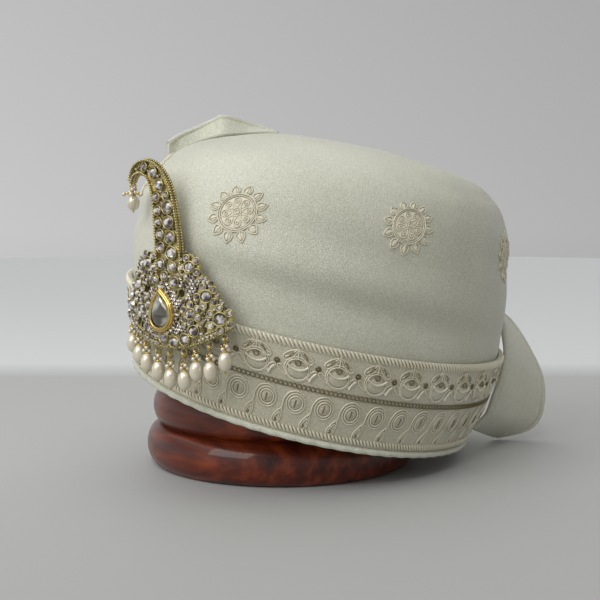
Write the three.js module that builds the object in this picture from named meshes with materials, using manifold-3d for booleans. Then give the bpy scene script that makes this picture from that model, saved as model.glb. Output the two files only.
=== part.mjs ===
// A tied turban in ivory satin with an embroidered border, a jewelled plume brooch and satin tails,
// set a little askew on a low turned wooden stand. Millimetres, +Z up.
// The origin is the centre of the stand's foot. The front of the turban faces -Y.
import * as THREE from "three";
import { mergeVertices } from "three/addons/utils/BufferGeometryUtils.js";
import Module from "manifold-3d";

const wasm = await Module();
wasm.setup();

// Driving dimensions

const GAP = 0.35; // between pieces that touch
const CLOTH = 2.5; // satin over its stiffened base
const AROUND = 40; // facets round the crown and the border

// How the turban sits: its rim's centre, and how far it leans to its back and to its left, in degrees.
const SEAT = { x: 9.5, y: 9.5, z: 36, leanBack: 7, leanLeft: 13 };

// The crown's outer surface, a row for each oval section from the rim to the top: half its length front
// to back, half its width as a share of that, how far it is drawn towards the left back, and how far it
// dips on that side.
const CROWN_SECTIONS = [
  { rise: 0, halfLength: 99.5, widthShare: 0.83, drawn: 0, dip: 3.8 },
  { rise: 24, halfLength: 106.5, widthShare: 0.83, drawn: 0, dip: 2 },
  { rise: 48, halfLength: 111.5, widthShare: 0.83, drawn: -2.8, dip: 0 },
  { rise: 76, halfLength: 113, widthShare: 0.83, drawn: -7, dip: 0 },
  { rise: 100, halfLength: 109, widthShare: 0.83, drawn: -8, dip: 0 },
  { rise: 118, halfLength: 97.5, widthShare: 0.83, drawn: -5, dip: 0 },
  { rise: 129, halfLength: 81, widthShare: 0.83, drawn: 1, dip: 0 },
  { rise: 138, halfLength: 53, widthShare: 0.84, drawn: 7, dip: 0 },
  { rise: 142, halfLength: 0, widthShare: 0.85, drawn: 10, dip: 0 },
];
const CROWN_STEPS = 11; // facets up the wall
const BORDER_TOP_ROW = 2; // the section that the border's upper edge follows

// Soft folds drawn round the crown by the winding: where each is deepest, by its turn from the front
// towards the left and its rise, how far it runs, how tall it is, how it climbs and how deep it is.
const CROWN_FOLDS = [
  { turn: 48, rise: 96, runs: 34, tall: 9, climbs: -0.12, depth: -2.2 },
  { turn: 70, rise: 66, runs: 44, tall: 7, climbs: -0.1, depth: -2.4 },
  { turn: 40, rise: 80, runs: 40, tall: 8, climbs: -0.05, depth: 1.6 },
  { turn: 118, rise: 98, runs: 30, tall: 9, climbs: -0.2, depth: -1.8 },
  { turn: 200, rise: 88, runs: 50, tall: 10, climbs: 0.05, depth: -2.2 },
  { turn: 275, rise: 100, runs: 46, tall: 9, climbs: 0.1, depth: -2 },
  { turn: 325, rise: 78, runs: 40, tall: 8, climbs: 0.08, depth: -1.8 },
];

// The border: an embroidered strip round the base of the crown, with a raised cord along each edge.
const BORDER = { thick: 2, cordProud: 1.1 };
const BORDER_FACE = [
  { share: 0, proud: 0 },
  { share: 0.06, proud: 1 },
  { share: 0.12, proud: 0 },
  { share: 0.5, proud: 0 },
  { share: 0.88, proud: 0 },
  { share: 0.94, proud: 1 },
  { share: 1, proud: 0 },
];

// The satin tails are laid out in a frame turned towards the turban's left back: out from the stand's
// axis, deep towards the right back, and up from the foot.
const TAILS_TURN = 46;
const TAIL_CLOTH = 2;
const BACK_LOOP = { nearDeep: 14, farDeep: 44, steps: 16 };
const BACK_LOOP_COURSE = [
  { nearOut: 126.5, nearUp: 76, farOut: 125, farUp: 82 },
  { nearOut: 130, nearUp: 68, farOut: 137, farUp: 73 },
  { nearOut: 131.5, nearUp: 57, farOut: 148, farUp: 57 },
  { nearOut: 129.5, nearUp: 45, farOut: 157, farUp: 37 },
  { nearOut: 125, nearUp: 32, farOut: 156.5, farUp: 17 },
  { nearOut: 118.5, nearUp: 21, farOut: 148, farUp: 7 },
  { nearOut: 110, nearUp: 13, farOut: 128, farUp: 2.5 },
];
const TOP_FOLD = { steps: 14, footLift: 1.3 };
const TOP_FOLD_COURSE = [
  { out: -61, deep: -20, up: 174, leans: 2 },
  { out: -56, deep: -15, up: 178.5, leans: 3 },
  { out: -45, deep: -12, up: 184, leans: 4 },
  { out: -36, deep: -13, up: 188.5, leans: 5 },
  { out: -30, deep: -8, up: 189, leans: 6 },
  { out: -16, deep: -6, up: 185.5, leans: 5 },
  { out: -2, deep: -4, up: 181, leans: 3 },
];

// The brooch stands upright on the front of the border: where its centre stone sits, how far it stands
// off the border, the radius that it is bowed to, which way it faces and how its top leans, in degrees.
const BROOCH = {
  turn: 9.5,
  row: 2.04,
  standOff: 8,
  bow: 72,
  yaw: 8,
  leanSide: -5.5,
  leanBack: -3,
  shellLow: -40,
  shellHigh: 90,
  shellFacets: 48,
};
const PLATE = 1.8; // gold plate of the setting
const RIM = { wide: 1.1, proud: 1 };
const PLUME_STEPS = 13;
const PLUME_COURSE = [
  { across: 3.2, up: 13, width: 15.5 },
  { across: 3.1, up: 27, width: 15 },
  { across: 2, up: 41, width: 14 },
  { across: 0.2, up: 53, width: 12.3 },
  { across: -4.4, up: 62, width: 9.5 },
  { across: -12, up: 66, width: 7 },
  { across: -19.5, up: 65, width: 5 },
  { across: -23.5, up: 61, width: 3.4 },
];
const CENTRE_STONE = { across: -1.6, up: -2.2, width: 10.8, height: 15.6, lift: 3.2, bezel: 1.2 };
// The body follows the turban's own slant, so its rosettes lie higher on the right of the turban.
const ROSETTES = [
  { across: 14.8, up: 16.4, radius: 5.2, stone: 2.3, petals: 5 },
  { across: -10.2, up: 20.6, radius: 5.2, stone: 2.3, petals: 5 },
  { across: 22.6, up: 2.6, radius: 5.4, stone: 2.5, petals: 5 },
  { across: -19, up: 11.2, radius: 5.4, stone: 2.5, petals: 5 },
  { across: 28.6, up: -8, radius: 6.2, stone: 2.7, petals: 6 },
  { across: -26.2, up: 1.2, radius: 6.2, stone: 2.7, petals: 6 },
  { across: 14.4, up: -4.8, radius: 4.6, stone: 2.2, petals: 6 },
  { across: -15, up: -1, radius: 4.6, stone: 2.2, petals: 6 },
];
// The plate behind the rosettes, clockwise from the plume's foot, and the holes pierced in it.
const BODY_OUTLINE = [
  { across: -4, up: 25 },
  { across: 3, up: 22 },
  { across: 10, up: 24 },
  { across: 17, up: 22 },
  { across: 20, up: 14 },
  { across: 26, up: 8 },
  { across: 30, up: 0 },
  { across: 34, up: -7 },
  { across: 32, up: -13 },
  { across: 18, up: -18 },
  { across: 6, up: -19.5 },
  { across: -6, up: -17.5 },
  { across: -18, up: -12.5 },
  { across: -30, up: -4 },
  { across: -32, up: 3 },
  { across: -27, up: 8 },
  { across: -23, up: 15 },
  { across: -14, up: 25.5 },
];
const BODY_HOLES = [
  { across: 9.8, up: 4.8, radius: 1.9 },
  { across: -11.2, up: 8.4, radius: 1.7 },
  { across: 21.2, up: -12.4, radius: 1.5 },
  { across: -18.4, up: -8.2, radius: 1.5 },
];
const PETAL = { radius: 1.25, tall: 1.3 };
const LOWER_STONES = [
  { across: -1.2, up: -15, radius: 2.3 },
  { across: 5, up: -17.2, radius: 2.3 },
  { across: 10.9, up: -16.4, radius: 2.3 },
  { across: 15.8, up: -12.8, radius: 2.3 },
];
const PLUME_STONES = [
  { across: 5.4, up: 23.6, radius: 2.6 },
  { across: -0.8, up: 26.8, radius: 2 },
  { across: 5, up: 30.8, radius: 2.6 },
  { across: -0.9, up: 32.8, radius: 1.9 },
  { across: 4.4, up: 37.8, radius: 2.6 },
  { across: -1.6, up: 38.4, radius: 1.8 },
  { across: 4, up: 44.8, radius: 2.6 },
  { across: -2, up: 44, radius: 1.8 },
  { across: 3.4, up: 50.4, radius: 1.5 },
  { across: -2.5, up: 50, radius: 1.9 },
  { across: -0.6, up: 55.8, radius: 2.3 },
  { across: -4, up: 62, radius: 2.1 },
  { across: -10.2, up: 65.6, radius: 1.7 },
];
const STONE = { tall: 2, table: 0.58, facets: 8, bezel: 0.6, lift: 0.9 };

// Pearl drops hang from eyelets along the swag at the foot of the setting.
const SWAG = { left: -33, right: 32, lowAt: 6, foot: -20.5, bow: 0.0105, wide: 4 };
const EYELET = { radius: 1.5, wire: 0.4, sides: 10, wireSides: 5 };
const PEARL = { radius: 3.2, halfHeight: 4.7, sides: 10, bands: 5 };
const PEARL_DROPS = [
  { across: -31.5, neck: 1.7 },
  { across: -23.8, neck: 1.7 },
  { across: -16.3, neck: 1.7 },
  { across: -7.4, neck: 2.2 },
  { across: 0.9, neck: 4.2 },
  { across: 9.2, neck: 5.2 },
  { across: 15.6, neck: 1.9 },
  { across: 22.8, neck: 4.2 },
  { across: 30, neck: 3.2 },
];
const TIP_PEARL = { radius: 3.1, halfHeight: 3.9, neck: 2.2, sides: 10, bands: 6 };

// The pin behind the brooch, through the border and the crown to a flat clutch.
const PIN = { radius: 1.2, hole: 1.8, clutchRadius: 4, clutchAt: 15.5, clutchThick: 1.5 };

// The stand: two bullnose rings turned from one block, and the plain post that carries the crown.
const STAND = { ringSteps: 5, facets: 30, socketDepth: 12 };
const STAND_RINGS = [
  { bottom: 0, height: 22, neckRadius: 68, bulge: 7.5 },
  { bottom: 22, height: 20, neckRadius: 65.5, bulge: 6.5 },
];
const POST = { radius: 9, headRadius: 20, facets: 16, headSteps: 5 };

// Materials

const material = (color, roughness, metalness) =>
  new THREE.MeshStandardMaterial({ color, roughness, metalness });
const satin = material(0xe4e2d2, 0.55, 0);
const zari = material(0xd2cab0, 0.6, 0);
const gold = material(0xc9a655, 0.3, 1);
const crystal = material(0xe6e2ea, 0.05, 0);
const pearl = material(0xeee6d4, 0.25, 0);
const wood = material(0x4a1a0e, 0.3, 0);

// Small tools

const radians = THREE.MathUtils.degToRad;

function piece(name, geometry, finish) {
  const mesh = new THREE.Mesh(geometry, finish);
  mesh.name = name;
  return mesh;
}

// Moves every vertex of a geometry to where place(vertex) puts it.
function reshaped(geometry, place) {
  const position = geometry.getAttribute("position");
  const vertex = new THREE.Vector3();
  for (let i = 0; i < position.count; i++) {
    place(vertex.fromBufferAttribute(position, i));
    position.setXYZ(i, vertex.x, vertex.y, vertex.z);
  }
  return geometry;
}

function solidOf(geometry) {
  const bare = new THREE.BufferGeometry().setAttribute("position", geometry.getAttribute("position").clone());
  if (geometry.index) bare.setIndex(geometry.index.clone());
  const closed = mergeVertices(bare, 1e-4);
  const triVerts = new Uint32Array(closed.index.array);
  const vertProperties = new Float32Array(closed.attributes.position.array);
  return new wasm.Manifold(new wasm.Mesh({ numProp: 3, vertProperties, triVerts }));
}

function geometryOf(solid) {
  const mesh = solid.getMesh();
  const geometry = new THREE.BufferGeometry();
  geometry.setAttribute("position", new THREE.BufferAttribute(mesh.vertProperties, 3));
  return geometry.setIndex(new THREE.BufferAttribute(mesh.triVerts, 1));
}

const fused = (geometries) => geometryOf(geometries.map(solidOf).reduce((whole, next) => whole.add(next)));

// A solid of revolution about +Z from a profile of (radius, height) points.
function turned(profile, facets) {
  const points = profile.map(([radius, height]) => new THREE.Vector2(radius, height));
  return new THREE.LatheGeometry(points, facets).rotateX(Math.PI / 2);
}

// A table's column, read smoothly at a row number that may lie between rows.
function columnAt(rows, column, row) {
  const last = rows.length - 1;
  const i = Math.min(Math.floor(row), last - 1);
  const value = (k) => rows[THREE.MathUtils.clamp(k, 0, last)][column];
  const [before, from, to, after] = [value(i - 1), value(i), value(i + 1), value(i + 2)];
  const share = row - i;
  const leave = (to - before) / 2;
  const arrive = (after - from) / 2;
  const turn = 3 * (to - from) - 2 * leave - arrive;
  const bend = 2 * (from - to) + leave + arrive;
  return from + share * (leave + share * (turn + share * bend));
}

// The crown and the border

// A point of the crown's plain form, at a turn from the front towards the left.
function crownForm(turn, row) {
  const read = (column) => columnAt(CROWN_SECTIONS, column, row);
  const halfLength = Math.max(read("halfLength"), 0);
  const side = radians(TAILS_TURN);
  const x = read("drawn") * Math.cos(side) + halfLength * read("widthShare") * Math.sin(turn);
  const y = read("drawn") * Math.sin(side) - halfLength * Math.cos(turn);
  const towards = (x * Math.cos(side) + y * Math.sin(side)) / CROWN_SECTIONS[0].halfLength;
  return new THREE.Vector3(x, y, read("rise") - read("dip") * towards);
}

function foldDepth(turn, rise) {
  let depth = 0;
  for (const fold of CROWN_FOLDS) {
    const away = THREE.MathUtils.euclideanModulo(THREE.MathUtils.radToDeg(turn) - fold.turn + 180, 360) - 180;
    const above = rise - fold.rise - fold.climbs * away;
    depth += fold.depth * Math.exp(-((away / fold.runs) ** 2) - (above / fold.tall) ** 2);
  }
  return depth;
}

// A point that stands out from the crown's outside by some millimetres, folds and all.
function crownPoint(turn, row, out) {
  const point = crownForm(turn, row);
  const step = 0.01;
  const last = CROWN_SECTIONS.length - 1;
  const around = crownForm(turn + step, row).sub(crownForm(turn - step, row));
  const up = crownForm(turn, Math.min(row + step, last)).sub(crownForm(turn, Math.max(row - step, 0)));
  const normal = around.cross(up).normalize();
  if (row === 0) normal.setZ(0).normalize();
  if (row === last) normal.set(0, 0, 1);
  return point.addScaledVector(normal, out + foldDepth(turn, point.z));
}

// A ring or cap of facets round the crown, through stations of a row of the section table and a stand-off.
function wrapped(stations) {
  const grid = stations.map((station, i) => [1, i]);
  return reshaped(turned(grid, AROUND), (vertex) => {
    const station = stations[Math.round(vertex.z)];
    vertex.copy(crownPoint(Math.atan2(vertex.x, -vertex.y), station.row, station.out));
  });
}

function crownStations() {
  const last = CROWN_SECTIONS.length - 1;
  const rows = Array.from({ length: CROWN_STEPS + 1 }, (_, i) => (last * i) / CROWN_STEPS);
  const outside = rows.map((row) => ({ row, out: 0 }));
  const inside = rows.map((row) => ({ row, out: -CLOTH })).reverse();
  return [...inside, ...outside];
}

function borderStations() {
  const outside = BORDER_FACE.map(({ share, proud }) => ({
    row: share * BORDER_TOP_ROW,
    out: 2 * GAP + BORDER.thick + proud * BORDER.cordProud,
  }));
  const inside = [1, 0.5, 0].map((share) => ({ row: share * BORDER_TOP_ROW, out: 2 * GAP }));
  return [...inside, ...outside, inside[0]];
}

const turban = new THREE.Group();
turban.position.set(SEAT.x, SEAT.y, SEAT.z);
turban.rotation.set(-radians(SEAT.leanBack), radians(SEAT.leanLeft), 0);

const crown = piece("crown", wrapped(crownStations()), satin);
const border = piece("border_band", wrapped(borderStations()), zari);
turban.add(crown, border);
turban.updateMatrixWorld(true);

// Where a straight line first meets the crown.
function meetsCrown(from, direction) {
  const [hit] = new THREE.Raycaster(from, direction).intersectObject(crown);
  return hit;
}

crown.material.side = THREE.DoubleSide;

// The satin tails

// A strip of cloth between a near and a far edge, each a curve through points.
function ribbon(near, far, steps, rows, thick) {
  const nearEdge = new THREE.CatmullRomCurve3(near);
  const farEdge = new THREE.CatmullRomCurve3(far);
  const middle = (along) => nearEdge.getPoint(along).lerp(farEdge.getPoint(along), 0.5);
  const small = 0.004;
  return reshaped(new THREE.BoxGeometry(1, 1, 1, steps, rows, 1), (vertex) => {
    const along = vertex.x + 0.5;
    const across = farEdge.getPoint(along).sub(nearEdge.getPoint(along));
    const onward = middle(Math.min(along + small, 1)).sub(middle(Math.max(along - small, 0)));
    const normal = onward.cross(across).normalize();
    const { y: share, z: side } = vertex;
    vertex.copy(nearEdge.getPoint(along));
    vertex.addScaledVector(across, share + 0.5).addScaledVector(normal, side * thick);
  });
}

const tails = new THREE.Group();
tails.rotation.z = radians(TAILS_TURN);
tails.updateMatrixWorld(true);

const backLoop = piece(
  "back_loop",
  ribbon(
    BACK_LOOP_COURSE.map((row) => new THREE.Vector3(row.nearOut, BACK_LOOP.nearDeep, row.nearUp)),
    BACK_LOOP_COURSE.map((row) => new THREE.Vector3(row.farOut, BACK_LOOP.farDeep, row.farUp)),
    BACK_LOOP.steps,
    2,
    TAIL_CLOTH,
  ),
  satin,
);

// The foot of the top fold follows the crown below it.
function topFoldFoot() {
  const above = TOP_FOLD_COURSE.map((row) => new THREE.Vector3(row.out, row.deep, 400));
  const course = new THREE.CatmullRomCurve3(above);
  return course.getPoints(TOP_FOLD.steps).map((point) => {
    const below = meetsCrown(tails.localToWorld(point.clone()), new THREE.Vector3(0, 0, -1));
    return point.setZ(below.point.z + TOP_FOLD.footLift);
  });
}

const topFold = piece(
  "top_fold",
  ribbon(
    TOP_FOLD_COURSE.map((row) => new THREE.Vector3(row.out, row.deep + row.leans, row.up)),
    topFoldFoot(),
    TOP_FOLD.steps,
    2,
    TAIL_CLOTH,
  ),
  satin,
);
tails.add(backLoop, topFold);

// The brooch: laid out flat, across in X, up in Y and out in Z, then bowed round the front of the turban.

const brooch = new THREE.Group();
const seatOfBrooch = crownPoint(radians(BROOCH.turn), BROOCH.row, BROOCH.standOff);
brooch.position.copy(turban.localToWorld(seatOfBrooch));
brooch.rotation.set(radians(BROOCH.leanBack), radians(BROOCH.leanSide), radians(BROOCH.yaw), "ZXY");
brooch.updateMatrixWorld(true);

// The frame of a place on the bowed brooch: across in X, up in Y and out in Z.
function broochFrame(across, up, out) {
  const turn = across / BROOCH.bow;
  const radius = BROOCH.bow + out;
  const frame = new THREE.Matrix4().makeBasis(
    new THREE.Vector3(Math.cos(turn), Math.sin(turn), 0),
    new THREE.Vector3(0, 0, 1),
    new THREE.Vector3(Math.sin(turn), -Math.cos(turn), 0),
  );
  return frame.setPosition(radius * Math.sin(turn), BROOCH.bow - radius * Math.cos(turn), up);
}

const setOnBrooch = (geometry, across, up, out) => geometry.applyMatrix4(broochFrame(across, up, out));

// A curved wall of the brooch between two heights over its back.
function bowedShell(from, to) {
  const { bow, shellLow, shellHigh, shellFacets } = BROOCH;
  const profile = [
    [bow + from, shellLow],
    [bow + to, shellLow],
    [bow + to, shellHigh],
    [bow + from, shellHigh],
    [bow + from, shellLow],
  ];
  return solidOf(turned(profile, shellFacets).translate(0, bow, 0));
}

// An outline of the flat layout carried straight through the bowed wall, to cut it out of it.
function upright(shape) {
  const options = { depth: BROOCH.bow / 2, bevelEnabled: false, curveSegments: 5 };
  const through = new THREE.ExtrudeGeometry(shape, options);
  const stood = reshaped(through, (vertex) =>
    vertex.set(BROOCH.bow * Math.sin(vertex.x / BROOCH.bow), BROOCH.bow / 3 - vertex.z, vertex.y),
  );
  return solidOf(stood);
}

// A drop outline, pointed at the top and round at the bottom, centred on its own height.
function dropShape(width, height) {
  const radius = width / 2;
  const belly = radius - height / 2;
  const shape = new THREE.Shape();
  shape.absarc(0, belly, radius, Math.PI, 2 * Math.PI, false);
  shape.bezierCurveTo(radius, belly + radius, 0.12 * radius, height / 2 - radius, 0, height / 2);
  shape.bezierCurveTo(-0.12 * radius, height / 2 - radius, -radius, belly + radius, -radius, belly);
  return shape;
}

function plumeShape(inset) {
  const left = [];
  const right = [];
  const last = PLUME_COURSE.length - 1;
  const at = (row) =>
    new THREE.Vector2(columnAt(PLUME_COURSE, "across", row), columnAt(PLUME_COURSE, "up", row));
  for (let i = 0; i <= PLUME_STEPS; i++) {
    const row = (last * i) / PLUME_STEPS;
    const along = at(Math.min(row + 0.05, last)).sub(at(Math.max(row - 0.05, 0))).normalize();
    const half = columnAt(PLUME_COURSE, "width", row) / 2 - inset;
    const side = new THREE.Vector2(along.y, -along.x).multiplyScalar(half);
    right.push(at(row).add(side));
    left.unshift(at(row).sub(side));
  }
  return new THREE.Shape([...right, ...left]);
}

function bodyShape() {
  const shape = new THREE.Shape(BODY_OUTLINE.map(({ across, up }) => new THREE.Vector2(across, up)));
  shape.holes = BODY_HOLES.map(({ across, up, radius }) =>
    new THREE.Path().absarc(across, up, radius, 0, 2 * Math.PI, false),
  );
  return shape;
}

const swagAt = (across) => SWAG.foot + SWAG.bow * (across - SWAG.lowAt) ** 2;

function swagShape() {
  const steps = 10;
  const edge = (lift) =>
    Array.from({ length: steps + 1 }, (_, i) => {
      const across = THREE.MathUtils.lerp(SWAG.left, SWAG.right, i / steps);
      return new THREE.Vector2(across, swagAt(across) + lift);
    });
  return new THREE.Shape([...edge(0), ...edge(SWAG.wide).reverse()]);
}

// The round plates under the rosettes and under the lower stones.
function discShapes() {
  const seats = LOWER_STONES.map((row) => ({ ...row, radius: row.radius + GAP + STONE.bezel }));
  return [...ROSETTES, ...seats].map(({ across, up, radius }) =>
    new THREE.Shape().absarc(across, up, radius, 0, 2 * Math.PI, false),
  );
}

// A ring of gold wall round a stone, open in the middle.
function bezelRing(radius) {
  const outer = radius + STONE.bezel;
  const [from, to] = [PLATE - 0.5, PLATE + STONE.lift];
  const profile = [
    [radius, from],
    [outer, from],
    [outer, to],
    [radius, to],
    [radius, from],
  ];
  return turned(profile, STONE.facets);
}

// A cut stone: a flat back, a girdle, sloping facets and a table.
function cutStone(radius) {
  const profile = [
    [0, 0],
    [radius * 0.86, 0],
    [radius, STONE.tall * 0.35],
    [radius * STONE.table, STONE.tall],
    [0, STONE.tall],
  ];
  return turned(profile, STONE.facets);
}

// A small stone of a rosette: facets straight up to a table.
function petalStone() {
  const profile = [
    [0, -0.5],
    [PETAL.radius, -0.5],
    [PETAL.radius * STONE.table, PETAL.tall],
    [0, PETAL.tall],
  ];
  return turned(profile, 8);
}

function rosetteParts({ across, up, radius, stone, petals }) {
  const ring = (stone + STONE.bezel + radius) / 2 + 0.35;
  const stones = Array.from({ length: petals }, (_, i) => {
    const turn = (2 * Math.PI * (i + 0.5)) / petals;
    return petalStone().translate(ring * Math.cos(turn), ring * Math.sin(turn), PLATE);
  });
  return [bezelRing(stone + GAP), ...stones].map((part) => setOnBrooch(part, across, up, 0));
}

// The centre stone's raised collar.
function collarParts() {
  const { across, up, width, height, lift, bezel } = CENTRE_STONE;
  const wide = 2 * (bezel + GAP);
  const outline = dropShape(width + wide, height + 1.3 * wide);
  const opening = dropShape(width + 2 * GAP, height + 2.6 * GAP);
  const walled = dropShape(width + wide, height + 1.3 * wide);
  walled.holes.push(new THREE.Path(opening.getPoints(5)));
  const block = (shape, from, to) => {
    const options = { depth: to - from, bevelEnabled: false, curveSegments: 5 };
    return new THREE.ExtrudeGeometry(shape, options).translate(0, 0, from);
  };
  const collar = [block(outline, PLATE - 0.5, lift), block(walled, lift - 0.3, lift + 1.6)];
  return collar.map((part) => setOnBrooch(part, across, up, 0));
}

const dropPlaces = PEARL_DROPS.map(({ across }) => {
  return { across, up: swagAt(across) - EYELET.radius, out: PLATE / 2 };
});
const tipRow = PLUME_COURSE.at(-1);
const tipPlace = { across: tipRow.across - 0.85, up: tipRow.up - 0.85, out: PLATE / 2 };

const wireRing = () => new THREE.TorusGeometry(EYELET.radius, EYELET.wire, EYELET.wireSides, EYELET.sides);

const loneStones = [...PLUME_STONES, ...LOWER_STONES];

function settingGeometry() {
  const plume = upright(plumeShape(0));
  const shapes = [bodyShape(), swagShape(), ...discShapes()];
  const outline = shapes.map(upright).reduce((whole, next) => whole.add(next), plume);
  const plates = bowedShell(0, PLATE).intersect(outline);
  const sunk = upright(plumeShape(RIM.wide));
  const rims = bowedShell(PLATE - 0.5, PLATE + RIM.proud).intersect(plume.subtract(sunk));
  const bezelAt = ({ across, up, radius }) => setOnBrooch(bezelRing(radius + GAP), across, up, 0);
  const eyeletAt = ({ across, up, out }) => setOnBrooch(wireRing(), across, up, out);
  const bezels = loneStones.map(bezelAt);
  const eyelets = [...dropPlaces, tipPlace].map(eyeletAt);
  const rosettes = ROSETTES.flatMap(rosetteParts);
  const raised = [...collarParts(), ...rosettes, ...bezels, ...eyelets].map(solidOf);
  return geometryOf([rims, ...raised].reduce((whole, next) => whole.add(next), plates));
}

brooch.add(piece("brooch_setting", settingGeometry(), gold));

const stoneOutline = dropShape(CENTRE_STONE.width - 2.6, CENTRE_STONE.height - 5.2);
const centreCut = new THREE.ExtrudeGeometry(stoneOutline, {
  depth: 0.6,
  bevelThickness: 1.6,
  bevelSize: 1.2,
  bevelSegments: 2,
  curveSegments: 4,
});
setOnBrooch(centreCut, CENTRE_STONE.across, CENTRE_STONE.up - 0.8, CENTRE_STONE.lift + GAP + 1.6);
brooch.add(piece("centre_stone", centreCut, crystal));

const numbered = (name, i) => `${name}_${String(i + 1).padStart(2, "0")}`;

const stoneGroups = [
  { name: "plume_stone", places: PLUME_STONES },
  { name: "lower_stone", places: LOWER_STONES },
  { name: "rosette_stone", places: ROSETTES.map((row) => ({ ...row, radius: row.stone })) },
];
for (const { name, places } of stoneGroups) {
  places.forEach(({ across, up, radius }, i) => {
    const cut = setOnBrooch(cutStone(radius), across, up, PLATE + GAP);
    brooch.add(piece(numbered(name, i), cut, crystal));
  });
}

// A pearl on a wire ring that links through an eyelet, hanging straight down below it.
function pearlDrop({ radius, halfHeight, neck, sides, bands }) {
  const ringAt = -(2 * EYELET.radius - 2 * EYELET.wire - GAP);
  const ring = wireRing().rotateX(Math.PI / 2).rotateZ(Math.PI / 2).translate(0, 0, ringAt);
  const ringFoot = ringAt - EYELET.radius;
  const top = ringFoot - neck;
  const stem = new THREE.CylinderGeometry(0.6, 0.6, neck + 1, 5).rotateX(Math.PI / 2);
  stem.translate(0, 0, ringFoot - (neck + 1) / 2);
  const bead = new THREE.SphereGeometry(1, sides, bands).rotateX(Math.PI / 2);
  bead.scale(radius, radius, halfHeight).translate(0, 0, top - halfHeight);
  return fused([ring, stem, bead]);
}

// Hangs a drop at a place of the flat layout, upright whatever way the brooch leans.
function hung(mesh, { across, up, out }) {
  mesh.position.setFromMatrixPosition(broochFrame(across, up, out).premultiply(brooch.matrixWorld));
  mesh.rotation.z = radians(BROOCH.yaw) + across / BROOCH.bow;
  return mesh;
}

const drops = new THREE.Group();
dropPlaces.forEach((at, i) => {
  const drop = pearlDrop({ ...PEARL, neck: PEARL_DROPS[i].neck });
  drops.add(hung(piece(numbered("pearl_drop", i), drop, pearl), at));
});
drops.add(hung(piece("tip_drop", pearlDrop(TIP_PEARL), pearl), tipPlace));

// The pin runs straight back from the brooch, through a hole in the border and in the crown.

const pinProfile = [
  [0, GAP],
  [PIN.radius, GAP],
  [PIN.radius, PIN.clutchAt],
  [PIN.clutchRadius, PIN.clutchAt],
  [PIN.clutchRadius, PIN.clutchAt + PIN.clutchThick],
  [0, PIN.clutchAt + PIN.clutchThick],
];
brooch.add(piece("brooch_pin", turned(pinProfile, 10).rotateX(-Math.PI / 2), gold));

const hole = new THREE.CylinderGeometry(PIN.hole, PIN.hole, PIN.clutchAt, 10);
hole.translate(0, PIN.clutchAt / 2, 0);
hole.applyMatrix4(brooch.matrixWorld).applyMatrix4(turban.matrixWorld.clone().invert());
for (const wall of [crown, border]) {
  wall.geometry = geometryOf(solidOf(wall.geometry).subtract(solidOf(hole)));
}

// The stand

const standTop = STAND_RINGS.at(-1).bottom + STAND_RINGS.at(-1).height;

function standProfile() {
  const points = [
    [0, 0],
    [STAND_RINGS[0].neckRadius, 0],
  ];
  for (const ring of STAND_RINGS) {
    for (let i = 1; i <= STAND.ringSteps; i++) {
      const turn = (Math.PI * i) / STAND.ringSteps;
      const height = ring.bottom + (ring.height * (1 - Math.cos(turn))) / 2;
      points.push([ring.neckRadius + ring.bulge * Math.sin(turn), height]);
    }
  }
  const socket = POST.radius + GAP;
  points.push([socket, standTop], [socket, standTop - STAND.socketDepth], [0, standTop - STAND.socketDepth]);
  return points;
}

// The post's round head stops just under the inside of the crown.
function postProfile() {
  const foot = standTop - STAND.socketDepth + GAP;
  const above = meetsCrown(new THREE.Vector3(0, 0, standTop), new THREE.Vector3(0, 0, 1));
  const slope = above.face.normal.clone().transformDirection(crown.matrixWorld).z;
  const headAt = above.point.z - (POST.headRadius + 2 * GAP) / Math.abs(slope);
  const from = Math.asin(POST.radius / POST.headRadius);
  const points = [
    [0, foot],
    [POST.radius, foot],
  ];
  for (let i = 0; i <= POST.headSteps; i++) {
    const turn = THREE.MathUtils.lerp(from, Math.PI, i / POST.headSteps);
    points.push([POST.headRadius * Math.sin(turn), headAt - POST.headRadius * Math.cos(turn)]);
  }
  points.at(-1)[0] = 0;
  return points;
}

const stand = new THREE.Group();
stand.add(piece("stand_base", turned(standProfile(), STAND.facets), wood));
stand.add(piece("stand_post", turned(postProfile(), POST.facets), wood));

const pagri = new THREE.Group();
pagri.add(stand, turban, tails, brooch, drops);
export default pagri;
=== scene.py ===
import math

import bmesh
import bpy
import numpy as np
from mathutils import Matrix, Vector
from mathutils.bvhtree import BVHTree


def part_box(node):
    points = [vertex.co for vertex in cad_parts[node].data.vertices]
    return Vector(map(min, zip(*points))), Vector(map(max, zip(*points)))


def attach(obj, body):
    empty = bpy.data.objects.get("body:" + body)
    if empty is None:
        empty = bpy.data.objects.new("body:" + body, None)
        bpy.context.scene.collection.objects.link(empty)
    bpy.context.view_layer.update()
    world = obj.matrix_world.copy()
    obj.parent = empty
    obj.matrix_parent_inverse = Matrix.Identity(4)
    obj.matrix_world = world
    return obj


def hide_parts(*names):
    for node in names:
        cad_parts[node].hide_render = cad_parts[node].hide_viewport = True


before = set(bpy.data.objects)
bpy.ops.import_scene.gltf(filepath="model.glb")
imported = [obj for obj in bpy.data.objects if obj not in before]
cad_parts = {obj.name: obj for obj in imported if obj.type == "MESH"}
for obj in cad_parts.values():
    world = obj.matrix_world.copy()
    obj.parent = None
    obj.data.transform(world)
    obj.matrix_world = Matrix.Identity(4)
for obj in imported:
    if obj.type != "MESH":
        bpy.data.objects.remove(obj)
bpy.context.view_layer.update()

# The stand's foot
# A low foot turned from one block of hardwood: two bullnose rings, one above the other, with a socket for
# the post. It is stained red-brown and lacquered to a gloss.
mm = 0.001
FOOT_RINGS = [  # bottom, height, neck radius, bulge
    (0, 22, 68, 7.5),
    (22, 20, 65.5, 6.5),
]
RING_STEPS = 14
FOOT_TOP = 42
SOCKET_RADIUS = 9.35
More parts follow.
